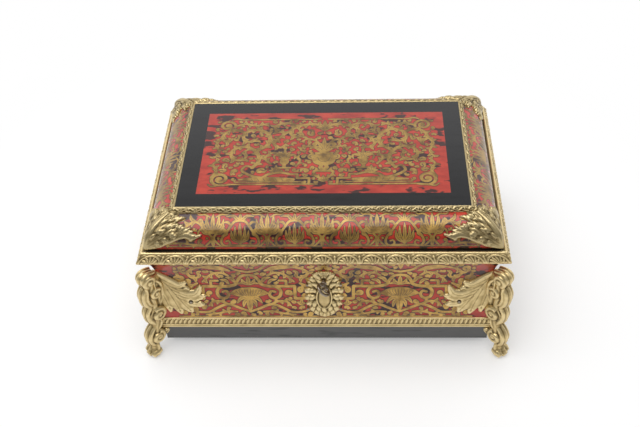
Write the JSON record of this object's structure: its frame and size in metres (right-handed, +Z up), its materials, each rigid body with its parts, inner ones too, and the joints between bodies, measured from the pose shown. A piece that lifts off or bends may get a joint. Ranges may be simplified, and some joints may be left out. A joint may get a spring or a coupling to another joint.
{
  "type": "marquetry casket",
  "caption": "Hinged keepsake casket with an ogee marquetry body, quarter-round lid, gilt mouldings, scrolled corner feet and a box lock with its key.",
  "frame": {"origin": "on the floor under the middle of the box, at the feet's lowest plane", "axes": "+X along the length to the right as seen from the front, +Y towards the hinges at the back, +Z up"},
  "size_m": [0.3854, 0.2654, 0.175],
  "materials": {
    "tortoiseshell_marquetry": "polished red shell veneer inlaid with brass",
    "gilt_bronze": "cast and gilded, matte in the recesses",
    "ebonised_wood": "black french polish",
    "carcass_wood": "planed oak",
    "lining_rosewood": "waxed rosewood veneer",
    "lock_brass": "brushed",
    "pin_steel": "browned",
    "steel": "dark, worn"
  },
  "bodies": {
    "case": {"base_moulding_back": "gilt_bronze", "base_moulding_front": "gilt_bronze", "base_moulding_left": "gilt_bronze", "base_moulding_right": "gilt_bronze", "case_back": "carcass_wood", "case_bottom": "carcass_wood", "case_front": "carcass_wood", "case_left": "carcass_wood", "case_lining": "lining_rosewood", "case_right": "carcass_wood", "case_screws": "steel", "case_veneer_back": "tortoiseshell_marquetry", "case_veneer_front": "tortoiseshell_marquetry", "case_veneer_left": "tortoiseshell_marquetry", "case_veneer_right": "tortoiseshell_marquetry", "corner_mount_back_left": "gilt_bronze", "corner_mount_back_right": "gilt_bronze", "corner_mount_front_left": "gilt_bronze", "corner_mount_front_right": "gilt_bronze", "escutcheon": "gilt_bronze", "hinge_case_leaf_left": "lock_brass", "hinge_case_leaf_right": "lock_brass", "hinge_pins": "steel", "lock_case": "lock_brass", "lock_cover": "lock_brass", "mount_pins": "pin_steel", "plinth_back": "ebonised_wood", "plinth_front": "ebonised_wood", "plinth_left": "ebonised_wood", "plinth_right": "ebonised_wood"},
    "lid": {"hinge_lid_leaf_left": "lock_brass", "hinge_lid_leaf_right": "lock_brass", "lid_board": "carcass_wood", "lid_frame_back": "gilt_bronze", "lid_frame_front": "gilt_bronze", "lid_frame_left": "gilt_bronze", "lid_frame_right": "gilt_bronze", "lid_lining": "lining_rosewood", "lid_marquetry": "tortoiseshell_marquetry", "lid_mount_back_left": "gilt_bronze", "lid_mount_back_right": "gilt_bronze", "lid_mount_front_left": "gilt_bronze", "lid_mount_front_right": "gilt_bronze", "lid_panel": "ebonised_wood", "lid_rail_back": "ebonised_wood", "lid_rail_front": "ebonised_wood", "lid_rail_left": "ebonised_wood", "lid_rail_right": "ebonised_wood", "lid_screws": "steel", "lid_strike": "lock_brass", "lid_veneer_back": "tortoiseshell_marquetry", "lid_veneer_front": "tortoiseshell_marquetry", "lid_veneer_left": "tortoiseshell_marquetry", "lid_veneer_right": "tortoiseshell_marquetry", "rim_moulding_back": "gilt_bronze", "rim_moulding_front": "gilt_bronze", "rim_moulding_left": "gilt_bronze", "rim_moulding_right": "gilt_bronze"},
    "key": {"key": "steel"},
    "bolt": {"lock_bolt": "steel"}
  },
  "joints": [
    {"name": "lid_hinge", "type": "hinge", "parent": "case", "child": "lid", "pos_m": [0, 0.1224, 0.13], "axis": [-1, 0, 0], "range_deg": [0, 100]},
    {"name": "key_turn", "type": "hinge", "parent": "case", "child": "key", "pos_m": [0, -0.1, 0.098], "axis": [0, 1, 0], "range_deg": [0, 90]},
    {"name": "bolt_throw", "type": "slide", "parent": "case", "child": "bolt", "axis": [1, 0, 0], "range_m": [0, 0.009]}
  ],
  "couplings": [
    {"joint": "bolt_throw", "follows": "key_turn", "m_per_rad": 0.0057295}
  ]
}
